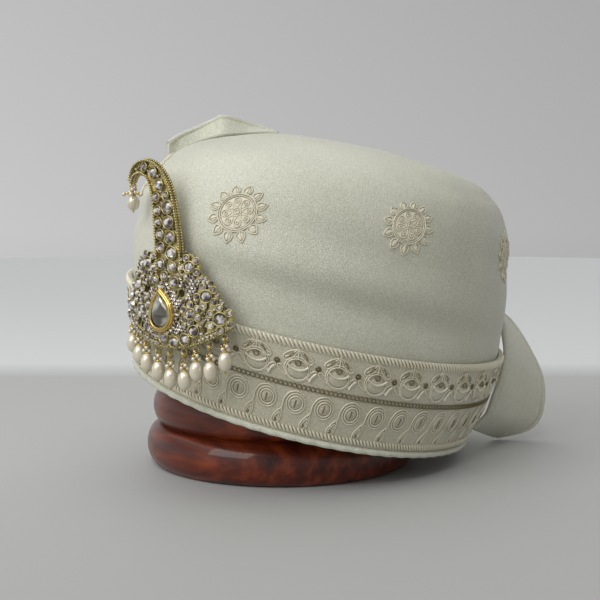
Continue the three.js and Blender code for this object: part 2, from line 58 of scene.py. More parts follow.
SOCKET_DEPTH = 12


def turned(profile, steps):
    """A form spun about the upright axis from its half outline of (radius, height) in millimetres."""
    shape = bmesh.new()
    outline = [shape.verts.new((radius * mm, 0, height * mm)) for radius, height in profile]
    edges = [shape.edges.new(pair) for pair in zip(outline, outline[1:])]
    bmesh.ops.spin(
        shape,
        geom=outline + edges,
        axis=(0, 0, 1),
        cent=(0, 0, 0),
        angle=2 * math.pi,
        steps=steps,
        use_merge=True,
    )
    bmesh.ops.remove_doubles(shape, verts=shape.verts, dist=1e-6)
    bmesh.ops.recalc_face_normals(shape, faces=shape.faces)
    return shape


def made(name, shape, finish, body="turban_on_stand", smooth=True):
    """A finished piece from its bmesh, riding on a body."""
    mesh = bpy.data.meshes.new(name)
    for face in shape.faces:
        face.smooth = smooth
    shape.to_mesh(mesh)
    shape.free()
    mesh.materials.append(finish.material)
    piece = bpy.data.objects.new(name, mesh)
    bpy.context.scene.collection.objects.link(piece)
    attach(piece, body)
    return piece


class Reading:
    """A value that changes over a surface. Sums written with it add their nodes."""

    def __init__(self, finish, socket):
        self.finish = finish
        self.socket = socket

    def sum(self, operation, first, second):
        return self.finish.node("ShaderNodeMath", {"operation": operation}, {0: first, 1: second})

    def __add__(self, other):
        return self.sum("ADD", self, other)

    def __radd__(self, other):
        return self.sum("ADD", other, self)

    def __rmul__(self, other):
        return self.sum("MULTIPLY", other, self)


class Finish:
    """A surface finish: one shader, its fixed settings, and the nodes that feed it."""

    def __init__(self, name, settings):
        self.material = bpy.data.materials.new(name)
        self.material.use_nodes = True
        self.tree = self.material.node_tree
        self.skin = self.tree.nodes["Principled BSDF"]
        for socket, value in settings.items():
            self.feed(socket, value)
        self.place = self.node("ShaderNodeTexCoord", {}, {}, 3)

    def node(self, kind, settings, sockets, output=0):
        added = self.tree.nodes.new(kind)
        for setting, value in settings.items():
            if setting == "stops":
                self.set_stops(added.color_ramp, value)
            else:
                setattr(added, setting, value)
        for socket, value in sockets.items():
            self.join(added.inputs[socket], value)
        return Reading(self, added.outputs[output])

    def set_stops(self, ramp, stops):
        while len(ramp.elements) < len(stops):
            ramp.elements.new(1)
        for element, (position, tone) in zip(ramp.elements, stops):
            element.position = position
            element.color = tone

    def join(self, socket, value):
        if isinstance(value, Reading):
            self.tree.links.new(value.socket, socket)
        else:
            socket.default_value = value

    def feed(self, socket, value):
        self.join(self.skin.inputs[socket], value)

    def noise(self, scale, detail=2, stretch=(1, 1, 1)):
        place = self.node("ShaderNodeMapping", {}, {"Vector": self.place, "Scale": stretch})
        return self.node("ShaderNodeTexNoise", {}, {"Vector": place, "Scale": scale, "Detail": detail})

    def ramp(self, value, stops):
        return self.node("ShaderNodeValToRGB", {"stops": stops}, {0: value})

    def mix(self, share, tone, other):
        return self.node("ShaderNodeMix", {"data_type": "RGBA"}, {0: share, 6: tone, 7: other}, 2)

    def bump(self, height, distance, strength=1):
        sockets = {"Height": height, "Distance": distance, "Strength": strength}
        self.feed("Normal", self.node("ShaderNodeBump", {}, sockets))


def colour(red, green, blue):
    """A paint-chart colour of 0 to 255 as the shader's linear values."""
    shares = [tone / 255 for tone in (red, green, blue)]
    return tuple(s / 12.92 if s <= 0.04045 else ((s + 0.055) / 1.055) ** 2.4 for s in shares) + (1,)


def bullnose(bottom, height, neck, bulge):
    angles = [math.pi * step / RING_STEPS for step in range(RING_STEPS + 1)]
    return [(neck + bulge * math.sin(a), bottom + height * (1 - math.cos(a)) / 2) for a in angles]


foot_outline = [(0, 0)]
for foot_ring in FOOT_RINGS:
    foot_outline += bullnose(*foot_ring)
socket_floor = FOOT_TOP - SOCKET_DEPTH
foot_outline += [(SOCKET_RADIUS, FOOT_TOP), (SOCKET_RADIUS, socket_floor), (0, socket_floor)]

wood = Finish("lacquered_wood", {
    "Coat Weight": 0.5,
    "Coat Roughness": 0.08,
    "Roughness": 0.45,
    "Specular IOR Level": 0.25,
})
grain = wood.noise(1, 5, (14, 190, 150))
cloud = wood.noise(16, 2)
stain = wood.ramp(
    0.8 * grain + 0.2 * cloud,
    [(0.3, colour(40, 9, 3)), (0.5, colour(88, 28, 8)), (0.72, colour(136, 58, 20))],
)
wood.feed("Base Color", stain)
wood.bump(grain + 1.5 * cloud, 0.00018, 0.5)

stand_foot = made("stand_foot", turned(foot_outline, 112), wood)
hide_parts("stand_base")

# The stand's post
# A plain dowel glued into the foot's socket, with a round head that carries the crown from inside. It is
# given the foot's stained and lacquered finish.
POST_RADIUS = 9
POST_HEAD = 20
HEAD_STEPS = 16

post_low, post_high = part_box("stand_post")
head_centre = post_high.z / mm - POST_HEAD
head_from = math.asin(POST_RADIUS / POST_HEAD)
post_outline = [(0, post_low.z / mm), (POST_RADIUS, post_low.z / mm)]
for step in range(HEAD_STEPS + 1):
    angle = head_from + (math.pi - head_from) * step / HEAD_STEPS
    post_outline.append((POST_HEAD * math.sin(angle), head_centre - POST_HEAD * math.cos(angle)))
post_outline[-1] = (0, post_high.z / mm)

stand_dowel = made("stand_dowel", turned(post_outline, 48), wood)
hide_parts("stand_post")

# The crown
# Ivory satin drawn over a stiffened oval base and pressed into soft folds that run round it, with a cotton
# lining inside. It sits askew on the post, leaning to the back and to the left.
SEAT = Matrix.Translation((9.5 * mm, 9.5 * mm, 36 * mm))
SEAT = SEAT @ Matrix.Rotation(math.radians(-7), 4, "X") @ Matrix.Rotation(math.radians(13), 4, "Y")
SIDE = math.radians(46)
CROWN_SECTIONS = np.array([  # rise, half length, width as a share of it, drawn to the left back, dip there
    (0, 99.5, 0.83, 0, 3.8),
    (24, 106.5, 0.83, 0, 2),
    (48, 111.5, 0.83, -2.8, 0),
    (76, 113, 0.83, -7, 0),
    (100, 109, 0.83, -8, 0),
    (118, 97.5, 0.83, -5, 0),
    (129, 81, 0.83, 1, 0),
    (138, 53, 0.84, 7, 0),
    (142, 0, 0.85, 10, 0),
])
CROWN_FOLDS = [  # turn from the front, rise, how far it runs, how tall, how it climbs, depth
    (48, 96, 34, 9, -0.12, -2.2),
    (70, 66, 44, 7, -0.1, -2.4),
    (40, 80, 40, 8, -0.05, 1.6),
    (118, 98, 30, 9, -0.2, -1.8),
    (200, 88, 50, 10, 0.05, -2.2),
    (275, 100, 46, 9, 0.1, -2),
    (325, 78, 40, 8, 0.08, -1.8),
]
CROWN_AROUND = 200
CROWN_UP = 88
CROWN_CLOTH = 2.5


def read_rows(table, row):
    """A table read smoothly at row numbers that may lie between its rows."""
    last = len(table) - 1
    i = np.clip(np.floor(row).astype(int), 0, last - 1)
    share = np.reshape(row - i, row.shape + (1,) * (table.ndim - 1))
    before, start, end, after = (table[np.clip(i + k, 0, last)] for k in (-1, 0, 1, 2))
    leave = (end - before) / 2
    arrive = (after - start) / 2
    turn = 3 * (end - start) - 2 * leave - arrive
    bend = 2 * (start - end) + leave + arrive
    return start + share * (leave + share * (turn + share * bend))


def section(column, row):
    return read_rows(CROWN_SECTIONS[:, column], row)


def crown_form(turn, row):
    half = np.maximum(section(1, row), 0)
    x = section(3, row) * math.cos(SIDE) + half * section(2, row) * np.sin(turn)
    y = section(3, row) * math.sin(SIDE) - half * np.cos(turn)
    towards = (x * math.cos(SIDE) + y * math.sin(SIDE)) / CROWN_SECTIONS[0, 1]
    return np.stack([x, y, section(0, row) - section(4, row) * towards], -1)


def fold_depth(turn, rise):
    depth = np.zeros_like(rise)
    for at, height, runs, tall, climbs, deep in CROWN_FOLDS:
        away = (np.degrees(turn) - at + 180) % 360 - 180
        depth += deep * np.exp(-((away / runs) ** 2) - ((rise - height - climbs * away) / tall) ** 2)
    return depth


def crown_point(turn, row, out):
    """Points that stand out from the crown by some millimetres, in the stand's frame, in metres."""
    step = 0.01
    last = len(CROWN_SECTIONS) - 1
    point = crown_form(turn, row)
    around = crown_form(turn + step, row) - crown_form(turn - step, row)
    up = crown_form(turn, np.minimum(row + step, last)) - crown_form(turn, row - step)
    normal = np.cross(around, up)
    length = np.linalg.norm(normal, axis=-1, keepdims=True)
    normal = np.where(length > 1e-9, normal / np.maximum(length, 1e-9), (0, 0, 1))
    point = point + normal * (out + fold_depth(turn, point[..., 2]))[..., None]
    return point * mm @ np.array(SEAT.to_3x3()).T + np.array(SEAT.translation)


def moved(shape, place):
    """Puts every vertex of a flat layout where place(x, y, z) says."""
    shape.verts.ensure_lookup_table()
    flat = np.array([vertex.co for vertex in shape.verts])
    for vertex, point in zip(shape.verts, place(*flat.T)):
        vertex.co = point
    return shape


def sheet_round(around, up, rows, out):
    """A grid laid right round the crown between two rows of the section table."""
    shape = bmesh.new()
    bmesh.ops.create_grid(shape, x_segments=around, y_segments=up, size=0.5)
    low, high = rows
    moved(shape, lambda x, y, z: crown_point(2 * math.pi * x, low + (high - low) * (y + 0.5), out + 0 * x))
    bmesh.ops.remove_doubles(shape, verts=shape.verts, dist=1e-6)
    bmesh.ops.recalc_face_normals(shape, faces=shape.faces)
    return shape


satin = Finish("ivory_satin", {"Sheen Weight": 0.2, "Sheen Roughness": 0.35, "Specular IOR Level": 0.45})
drift = satin.noise(13, 2)
crepe = satin.noise(2300, 1)
lit = satin.ramp(
    0.3 * drift + 0.7 * crepe,
    [(0.3, colour(168, 168, 148)), (0.7, colour(232, 232, 217))],
)
satin.feed("Base Color", lit)
satin.feed("Roughness", 0.3 + 0.25 * crepe)
satin.bump(crepe, 0.0003)

lining = Finish("cotton_lining", {"Roughness": 0.85})
slub = lining.noise(700, 2, (1, 1, 0.25))
lining.feed("Base Color", lining.mix(slub, colour(196, 190, 170), colour(216, 211, 194)))
lining.bump(slub, 0.0002)

crown_rows = (0, len(CROWN_SECTIONS) - 1)
crown_satin = made("crown_satin", sheet_round(CROWN_AROUND, CROWN_UP, crown_rows, 0), satin)
crown_satin.data.materials.append(lining.material)
crown_wall = crown_satin.modifiers.new("wall", "SOLIDIFY")
crown_wall.thickness = CROWN_CLOTH * mm
crown_wall.offset = -1
crown_wall.material_offset = 1
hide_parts("crown")

# The border
# A strip of tissue satin sewn round the base of the crown, with its lower edge turned over a soft piping.
# The embroidery is worked on it flat, before it goes round the crown.
BAND_LIFT = 2.7
BAND_TOP_ROW = 2
BAND_HEIGHT = 49
BAND_CLOTH = 2
BAND_MARKS = 721
PIPING_RADIUS = 1.7
PIPING_UP = 1.5

band_turns = np.linspace(0, 2 * math.pi, BAND_MARKS)
band_line = crown_point(band_turns, np.full(BAND_MARKS, 1.0), np.full(BAND_MARKS, BAND_LIFT)) / mm
band_reach = np.concatenate([[0], np.cumsum(np.linalg.norm(np.diff(band_line, axis=0), axis=1))])
BAND_LENGTH = band_reach[-1]


def on_band(along, up, out):
    """Where a place of the flat strip goes, from how far it is along, up and out from the face."""
    lap = np.floor(along / BAND_LENGTH)
    turn = np.interp(along - lap * BAND_LENGTH, band_reach, band_turns)
    return crown_point(turn, BAND_TOP_ROW * up / BAND_HEIGHT, BAND_LIFT + out)


tissue = Finish("tissue_satin", {"Sheen Weight": 0.25, "Sheen Roughness": 0.3})
weave = tissue.noise(1500, 2)
tone = tissue.noise(30, 3)
glint = tissue.ramp(
    0.4 * tone + 0.6 * weave,
    [(0.3, colour(172, 166, 142)), (0.7, colour(220, 216, 197))],
)
tissue.feed("Base Color", glint)
tissue.feed("Roughness", 0.36 + 0.2 * weave)
tissue.bump(weave, 0.0003)

border_cloth = made("border_cloth", sheet_round(200, 16, (0, BAND_TOP_ROW), BAND_LIFT), tissue)
band_wall = border_cloth.modifiers.new("wall", "SOLIDIFY")
band_wall.thickness = BAND_CLOTH * mm
band_wall.offset = -1
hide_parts("border_band")


def threads(runs, radius, fine=0):
    """Tubes of thread along runs of points, each run given with whether it closes on itself."""
    curve = bpy.data.curves.new("threads", "CURVE")
    curve.dimensions = "3D"
    curve.bevel_depth = radius
    curve.bevel_resolution = fine
    curve.use_fill_caps = True
    for points, closed in runs:
        spline = curve.splines.new("POLY")
        spline.points.add(len(points) - 1)
        for knot, point in zip(spline.points, points):
            knot.co = (*point, 1)
        spline.use_cyclic_u = closed
    holder = bpy.data.objects.new("threads", curve)
    mesh = bpy.data.meshes.new_from_object(holder)
    shape = bmesh.new()
    shape.from_mesh(mesh)
    bpy.data.objects.remove(holder)
    bpy.data.curves.remove(curve)
    bpy.data.meshes.remove(mesh)
    bmesh.ops.recalc_face_normals(shape, faces=shape.faces)
    return shape


hem_steps = 420
hem = [(BAND_LENGTH * step / hem_steps, PIPING_UP, 0.4 + 0.25 * math.sin(step)) for step in range(hem_steps)]
hem_roll = threads([(on_band(*np.array(hem).T), True)], PIPING_RADIUS * mm, 2)
border_piping = made("border_piping", hem_roll, satin)

# The border's embroidery
# Dull gold thread couched down in rows: lotus flowers with padded discs above, a chain of small rings, and
# scrolls with hanging leaves below. A twisted cord edges the border above and below.
FLOWERS = 33
FLOWER_AT = 75.4
FLOWER_UP = 36.3
DISC_RADIUS = 6
CHAIN_UP = 27.4
CHAIN_RINGS = 286
SCROLLS = 45
SCROLL_AT = 77.1
SCROLL_UP = 19.1
SCROLL_STEM = np.array([  # across from the scroll, up from the scroll
    (3.4, 4.2),
    (0, 5.9),
    (-3.9, 4.4),
    (-5.9, 0.8),
    (-6, -1.6),
    (-6.3, -3.4),
])
CORD_ROWS = (47.6, 6.6)
CORD_STITCHES = 315

zari = Finish("zari_thread", {"Metallic": 0.15})
strand = zari.noise(1800, 2)
age = zari.noise(45, 2)
zari.feed("Base Color", zari.mix(age, colour(212, 205, 178), colour(242, 237, 219)))
zari.feed("Roughness", 0.22 + 0.3 * strand)
zari.bump(strand, 0.0002)

# The dull tones also serve as painted shade in the small dark ring of each lotus flower.
dull = Finish("dull_sequin", {"Metallic": 0.6})
grime = dull.noise(500, 2)
dull.feed("Base Color", dull.mix(grime, colour(104, 94, 66), colour(158, 146, 110)))
dull.feed("Roughness", 0.3 + 0.3 * grime)


def ring(x, y, radius, steps=14, height=0.3, squash=1):
    """A closed round of thread on the flat cloth."""
    turns = [2 * math.pi * step / steps for step in range(steps)]
    return [(x + radius * math.cos(a), y + squash * radius * math.sin(a), height) for a in turns], True


def leaf(x, y, lean, length, width, steps=14, height=0.3):
    """A closed leaf of thread, round at its foot and pointed at its tip, leaning from upright by an angle."""
    points = []
    for step in range(steps):
        turn = 2 * math.pi * step / steps
        along = length * (1 - math.cos(turn)) / 2
        aside = 0.65 * width * math.sin(turn) * abs(math.cos(turn / 2))
        points.append((
            x + along * math.sin(lean) + aside * math.cos(lean),
            y + along * math.cos(lean) - aside * math.sin(lean),
            height,
        ))
    return points, True


def line(points, height=0.3, steps=4):
    """An open line of thread drawn smoothly through places of the flat cloth."""
    rows = np.linspace(0, len(points) - 1, steps * (len(points) - 1) + 1)
    return [(x, y, height) for x, y in read_rows(np.array(points, float), rows)], False


def add_bead(shape, place, sizes, rounds=1, lean=0):
    """A bead of three half sizes in a place of a mesh, leaning from upright by an angle."""
    spot = Matrix.Translation(place) @ Matrix.Rotation(-lean, 4, "Z") @ Matrix.Diagonal((*sizes, 1))
    bmesh.ops.create_icosphere(shape, subdivisions=rounds, radius=1, matrix=spot)


flower_runs = []
crescents = []
dark_runs = []
disc_pads = bmesh.new()
sequins = bmesh.new()
for flower in range(FLOWERS):
    x = FLOWER_AT + flower * BAND_LENGTH / FLOWERS
    y = FLOWER_UP
    gap_x = x + BAND_LENGTH / FLOWERS / 2
    add_bead(disc_pads, (x, y - 1.4, 0), (5, 3.8, 1.1), 3)
    flower_runs += [ring(x, y - 0.4, DISC_RADIUS, 22), ring(x, y - 0.6, DISC_RADIUS - 0.8, 20, 0.5)]
    bowl = [(x - 4.9, y + 1.8), (x - 2.8, y + 0.2), (x, y - 0.5), (x + 2.8, y + 0.2), (x + 4.9, y + 1.8)]
    crescents.append(line(bowl, 1.1))
    # Partly painted shade: this small ring is dark thread, and its dark tone also stands for the shade inside
    # the ring.
    dark_runs.append(ring(x, y + 3, 1.3, 10, 0.9))
    flower_runs.append(line([(x, y + 4.4), (x, y + 10.2)], 0.5))
    for side in (-1, 1):
        flower_runs.append(leaf(x + 6.6 * side, y + 3.4, -0.85 * side, 8.6, 3.4))
        vein = [(x + 6 * side, y + 4.6), (x + 3.4 * side, y + 6), (x + 0.8 * side, y + 9)]
        flower_runs.append(line(vein, 0.5))
        dark_runs.append(line([(x + 4.6 * side, y + 5), (x + 2.2 * side, y + 7.4)], 0.7))
        flower_runs.append(leaf(gap_x - 0.6 * side, y + 0.2, math.pi + 0.75 * side, 6.6, 2.4))
    add_bead(sequins, (gap_x, y + 1.8, 0.4), (0.8, 0.8, 0.6))
    dark_runs.append(ring(gap_x, y + 1.8, 1.2, 10))
    crescents.append(line([(gap_x - 0.8, y - 0.6), (gap_x - 2.4, y - 2.4), (gap_x - 3.6, y - 5.2)], 0.6))

for link in range(CHAIN_RINGS):
    dark_runs.append(ring(link * BAND_LENGTH / CHAIN_RINGS, CHAIN_UP, 1.15, 8))

scroll_runs = []
for scroll in range(SCROLLS):
    x = SCROLL_AT + scroll * BAND_LENGTH / SCROLLS
    y = SCROLL_UP
    add_bead(disc_pads, (x, y, 0), (3, 3, 0.7), 2)
    scroll_runs += [ring(x, y, 4.5, 20), ring(x, y, 3.3, 16, 0.5), line(SCROLL_STEM + (x, y), 0.4)]
    scroll_runs += [leaf(x - 8.7, y - 11.2, 0.3, 8.2, 3.8), leaf(x - 8.4, y - 10.4, 0.3, 5.4, 2.2, 10)]
    add_bead(disc_pads, (x + 0.9, y + 0.2, 0.5), (0.7, 1.2, 0.6))
    dark_runs.append(line([(x - 0.5, y - 1.7), (x - 0.3, y + 1.7)], 0.9))
    add_bead(sequins, (x - 8.2, y - 9.4, 0.4), (0.85, 0.85, 0.6))

cord_runs = []
for cord_up in CORD_ROWS:
    for stitch in range(CORD_STITCHES):
        x = stitch * BAND_LENGTH / CORD_STITCHES
        slant = [(x - 1.1, cord_up + 1.5, 0.1), (x - 0.4, cord_up + 0.6, 0.8), (x + 0.4, cord_up - 0.6, 0.8)]
        cord_runs.append((slant + [(x + 1.1, cord_up - 1.5, 0.1)], False))

border_discs = made("border_discs", moved(disc_pads, on_band), tissue)
border_flowers = made("border_flowers", moved(threads(flower_runs, 0.36), on_band), zari)
border_crescents = made("border_crescents", moved(threads(crescents, 0.55, 1), on_band), zari)
border_chain = made("border_chain", moved(threads(dark_runs, 0.3), on_band), dull)
border_scrolls = made("border_scrolls", moved(threads(scroll_runs, 0.36), on_band), zari)
border_cords = made("border_cords", moved(threads(cord_runs, 0.6, 1), on_band), zari)
border_sequins = made("border_sequins", moved(sequins, on_band), dull)
band_work = [border_piping, border_discs, border_flowers, border_crescents, border_chain]
band_work += [border_scrolls, border_cords, border_sequins]

# The sun medallions
# Seven round suns worked in ivory thread on the satin before it was drawn over the base: a padded flower in
# a ring, with pointed leaves round it.
SUNS = [  # turn from the front, row of the section table
    (23.5, 3.88),
    (70, 4.5),
    (120.5, 4.2),
    (173, 4.1),
    (225, 4.1),
    (276, 4.1),
    (330, 4.1),
]
SUN_PETALS = 8
SUN_LEAVES = 12

ivory = Finish("ivory_thread", {"Sheen Weight": 0.2})
twist = ivory.noise(1600, 2)
ivory.feed("Base Color", ivory.mix(twist, colour(202, 195, 168), colour(234, 229, 209)))
ivory.feed("Roughness", 0.3 + 0.25 * twist)
ivory.bump(twist, 0.0002)


def crown_patch(turn, row):
    """Where a small flat layout goes on the crown, about a place of it."""
    step = 0.02

    def at(turns, rows):
        return crown_point(np.array([turns]), np.array([rows]), np.zeros(1))[0] / mm

    around = np.linalg.norm(at(turn + step, row) - at(turn - step, row)) / (2 * step)
    rise = np.linalg.norm(at(turn, row + step) - at(turn, row - step)) / (2 * step)
    return lambda x, y, z: crown_point(turn + x / around, row + y / rise, z)


def sun_threads():
    runs = [ring(0, 0, 9, 36, 0.5), ring(0, 0, 8.2, 32), ring(0, 0, 2, 12, 0.5), ring(0, 0, 1, 8, 0.6)]
    for petal in range(SUN_PETALS):
        turn = 2 * math.pi * (petal + 0.5) / SUN_PETALS
        runs.append(leaf(7.1 * math.sin(turn), 7.1 * math.cos(turn), turn + math.pi, 4.8, 3.2, 14, 0.4))
        runs.append(ring(5.2 * math.sin(turn), 5.2 * math.cos(turn), 0.7, 8, 0.5))
    for point in range(SUN_LEAVES):
        turn = 2 * math.pi * point / SUN_LEAVES
        foot = (9.3 * math.sin(turn), 9.3 * math.cos(turn))
        tip = (12.8 * math.sin(turn), 12.8 * math.cos(turn))
        runs += [leaf(*foot, turn, 4.7, 4.2, 14), line([foot, tip], 0.5)]
    shape = threads(runs, 0.34)
    for point in range(SUN_LEAVES):
        turn = 2 * math.pi * point / SUN_LEAVES
        add_bead(shape, (11.2 * math.sin(turn), 11.2 * math.cos(turn), 0), (1.4, 1.9, 0.5), 2, turn)
    add_bead(shape, (0, 0, 0), (7.8, 7.8, 0.35), 3)
    return shape


for number, (turn, row) in enumerate(SUNS, 1):
    worked = moved(sun_threads(), crown_patch(math.radians(turn), row))
    made(f"sun_medallion_{number}", worked, ivory)

# The tails
# Two ends of the same satin: a loop that leaves the back of the crown and curls in under the rim, and a
# pleat that stands along the top. Their edges are rolled hems.
TAILS = Matrix.Rotation(SIDE, 4, "Z")
TAIL_CLOTH = 2
HEM_RADIUS = 1.7
LOOP_DEEP = (14, 44)
LOOP_COURSE = np.array([  # near edge out and up, far edge out and up
    (126.5, 76, 125, 82),
    (127.8, 68, 137, 73),
    (129, 57, 148, 57),
    (127, 45, 157, 37),
    (122.5, 32, 156.5, 17),
    (118.5, 21, 148, 7),
    (110, 13, 128, 2.5),
])
PLEAT_COURSE = np.array([  # out, deep, up, how far the top edge leans
    (-61, -20, 174, 2),
    (-56, -15, 178.5, 3),
    (-45, -10.5, 184, 4),
    (-37, -12, 187.5, 5),
    (-31, -14, 189.2, 5),
    (-16, -6.5, 185.5, 4),
    (-2, -4, 181, 3),
])


def in_tails(points):
    return points * mm @ np.array(TAILS.to_3x3()).T


def ribbon(steps, rows, near_edge, far_edge):
    """A strip of cloth between two edges, each given as points along shares of its length."""
    shape = bmesh.new()
    bmesh.ops.create_grid(shape, x_segments=steps, y_segments=rows, size=0.5)

    def place(x, y, z):
        near = near_edge(x + 0.5)
        return in_tails(near + (far_edge(x + 0.5) - near) * (y + 0.5)[:, None])

    moved(shape, place)
    bmesh.ops.recalc_face_normals(shape, faces=shape.faces)
    return shape


def loop_edge(columns, deep):
    def edge(share):
        out, up = read_rows(LOOP_COURSE[:, columns], share * (len(LOOP_COURSE) - 1)).T
        return np.stack([out, np.full_like(out, deep), up], -1)

    return edge


loop_near = loop_edge((0, 1), LOOP_DEEP[0])
loop_far = loop_edge((2, 3), LOOP_DEEP[1])
back_tail = made("back_tail", ribbon(48, 12, loop_near, loop_far), satin)
tail_wall = back_tail.modifiers.new("wall", "SOLIDIFY")
tail_wall.thickness = TAIL_CLOTH * mm
tail_wall.offset = 0
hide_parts("back_loop")

hem_shares = np.linspace(0.02, 0.98, 40)
tail_hems = [(in_tails(edge(hem_shares)), False) for edge in (loop_near, loop_far)]
tail_hem = made("tail_hem", threads(tail_hems, HEM_RADIUS * mm, 2), satin)

crown_mesh = bmesh.new()
crown_mesh.from_mesh(crown_satin.data)
crown_surface = BVHTree.FromBMesh(crown_mesh)
crown_mesh.free()


def pleat_row(share):
    return read_rows(PLEAT_COURSE, share * (len(PLEAT_COURSE) - 1)).T


def pleat_top(share):
    out, deep, up, leans = pleat_row(share)
    return np.stack([out, deep + leans, up], -1)


def pleat_foot(share):
    out, deep, up, leans = pleat_row(share)
    foot = np.stack([out, deep, up], -1)
    for point, above in zip(foot, in_tails(foot)):
        hit = crown_surface.ray_cast(Vector((above[0], above[1], 0.4)), Vector((0, 0, -1)))[0]
        point[2] = hit.z / mm + 1.3
    return foot


top_pleat = made("top_pleat", ribbon(56, 10, pleat_top, pleat_foot), satin)
pleat_wall = top_pleat.modifiers.new("wall", "SOLIDIFY")
pleat_wall.thickness = TAIL_CLOTH * mm
pleat_wall.offset = 0
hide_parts("top_fold")
pleat_roll = threads([(in_tails(pleat_top(hem_shares)), False)], HEM_RADIUS * mm, 2)
pleat_hem = made("pleat_hem", pleat_roll, satin)

# The plume brooch
# A plume jewel cast in gilded metal, bowed to the front of the turban and pinned through the border. Its
# plates carry foiled glass stones in wire bezels, with rows of tiny beads and paved stones between them.
BROOCH_BOW = 72
BROOCH_TURN = math.radians(9.5)
BROOCH_ROW = 2.04
BROOCH_OUT = 8.0
BROOCH_TWIST = math.radians(8)
brooch_seat = crown_point(np.array([BROOCH_TURN]), np.array([BROOCH_ROW]), np.array([BROOCH_OUT]))[0]
BROOCH = Matrix.Translation(brooch_seat)
BROOCH = BROOCH @ Matrix.Rotation(BROOCH_TWIST, 4, "Z")
BROOCH = BROOCH @ Matrix.Rotation(math.radians(-3), 4, "X")
BROOCH = BROOCH @ Matrix.Rotation(math.radians(-5.5), 4, "Y")
PLATE = 1.8
RIM_PROUD = 1
PLUME_COURSE = np.array([  # across, up, width
    (3.2, 13, 15.5),
    (3.1, 27, 15),
    (2, 41, 14),
    (0.2, 53, 12.3),
    (-4.4, 62, 9.5),
    (-12, 66, 7),
    (-19.5, 65, 5),
    (-23.5, 61, 3.4),
])
PLUME_STONES = [  # across, up, radius
    (5.4, 23.6, 2.6),
    (-0.8, 26.8, 2),
    (5, 30.8, 2.6),
    (-0.9, 32.8, 1.9),
    (4.4, 37.8, 2.6),
    (-1.6, 38.4, 1.8),
    (4, 44.8, 2.6),
    (-2, 44, 1.8),
    (3.4, 50.4, 1.5),
    (-2.5, 50, 1.9),
    (-0.6, 55.8, 2.3),
    (-4, 62, 2.1),
    (-10.2, 65.6, 1.7),
]
LOWER_STONES = [(-1.2, -15, 2.3), (5, -17.2, 2.3), (10.9, -16.4, 2.3), (15.8, -12.8, 2.3)]
UPPER_STONES = [(-5, 12.2, 1.8), (0.8, 13.4, 1.8), (6.4, 10, 2.1), (-1.4, 19, 2.2), (5.6, 17, 2.1)]
ROSETTES = [  # across, up, stone, petals, ring of petals
    (14.8, 16.4, 2.3, 5, 4.4),
    (-10.2, 20.6, 2.3, 5, 4.4),
    (22.6, 2.6, 2.5, 5, 4.6),
    (-19, 11.2, 2.5, 5, 4.6),
    (28.6, -8, 2.7, 6, 5.1),
    (-26.2, 1.2, 2.7, 6, 5.1),
    (14.4, -4.8, 2.2, 6, 4.05),
    (-15, -1, 2.2, 6, 4.05),
]
BODY_OUTLINE = np.array([  # across, up
    (-4, 25),
    (3, 22),
    (10, 24),
    (17, 22),
    (20, 14),
    (26, 8),
    (30, 0),
    (34, -7),
    (32, -13),
    (18, -18),
    (6, -19.5),
    (-6, -17.5),
    (-18, -12.5),
    (-30, -4),
    (-32, 3),
    (-27, 8),
    (-23, 15),
    (-14, 25.5),
])
BODY_HOLES = [(9.8, 4.8, 1.9), (-11.2, 8.4, 1.7), (21.2, -12.4, 1.5), (-18.4, -8.2, 1.5)]
STONE_SEAT = PLATE + 1.05
STONE_TALL = 2
STONE_FACETS = 8
PETAL_STONE = 1.45
PETAL_TALL = 1.3
PETAL_SEAT = PLATE + 0.9

gold = Finish("aged_gold", {"Metallic": 1})
patina = gold.noise(260, 3)
rub = gold.noise(900, 2)
gold.feed("Base Color", gold.mix(patina, colour(140, 128, 82), colour(216, 204, 156)))
gold.feed("Roughness", 0.2 + 0.2 * rub)
gold.bump(rub, 0.0001, 0.5)
for node in ("brooch_setting", "brooch_pin"):
    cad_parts[node].data.materials.clear()
    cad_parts[node].data.materials.append(gold.material)

# Painted reflections: the base colour is mottled at random from dark grey to near white, standing for the
# dark and bright reflections of the stones' facets.
crystal = Finish("foiled_crystal", {"Metallic": 0.9, "Roughness": 0.05})
stone_reflection_mottle = crystal.noise(420, 1)
clear = crystal.ramp(
    stone_reflection_mottle,
    [(0.38, colour(104, 98, 98)), (0.5, colour(196, 190, 188)), (0.6, colour(246, 243, 240))],
)
crystal.feed("Base Color", clear)


def on_brooch(across, up, out):
    """Where a place of the flat brooch goes: across and up from the pin, and out from its back."""
    turn = across / BROOCH_BOW
    radius = BROOCH_BOW + out
    bowed = np.stack([radius * np.sin(turn), BROOCH_BOW - radius * np.cos(turn), up], -1)
    return bowed * mm @ np.array(BROOCH.to_3x3()).T + np.array(BROOCH.translation)


def add_stone(shape, place, radius, tall):
    """A round stone with a flat back, kite facets and a table, with its girdle in a place of a mesh."""
    spot = Matrix.Translation(place)
    girdle = bmesh.ops.create_circle(shape, segments=STONE_FACETS, radius=radius, matrix=spot)["verts"]
    rim = list(dict.fromkeys(edge for vertex in girdle for edge in vertex.link_edges))
    for height, size, turn in ((-0.35 * tall, 0.9, 0), (0.65 * tall, 0.58, math.pi / STONE_FACETS)):
        drawn = bmesh.ops.extrude_edge_only(shape, edges=rim)["geom"]
        corners = [item for item in drawn if isinstance(item, bmesh.types.BMVert)]
        shift = Matrix.Translation((0, 0, height)) @ Matrix.Rotation(turn, 4, "Z") @ Matrix.Scale(size, 4)
        bmesh.ops.transform(shape, matrix=spot @ shift @ spot.inverted(), verts=corners)
        bmesh.ops.contextual_create(shape, geom=corners)


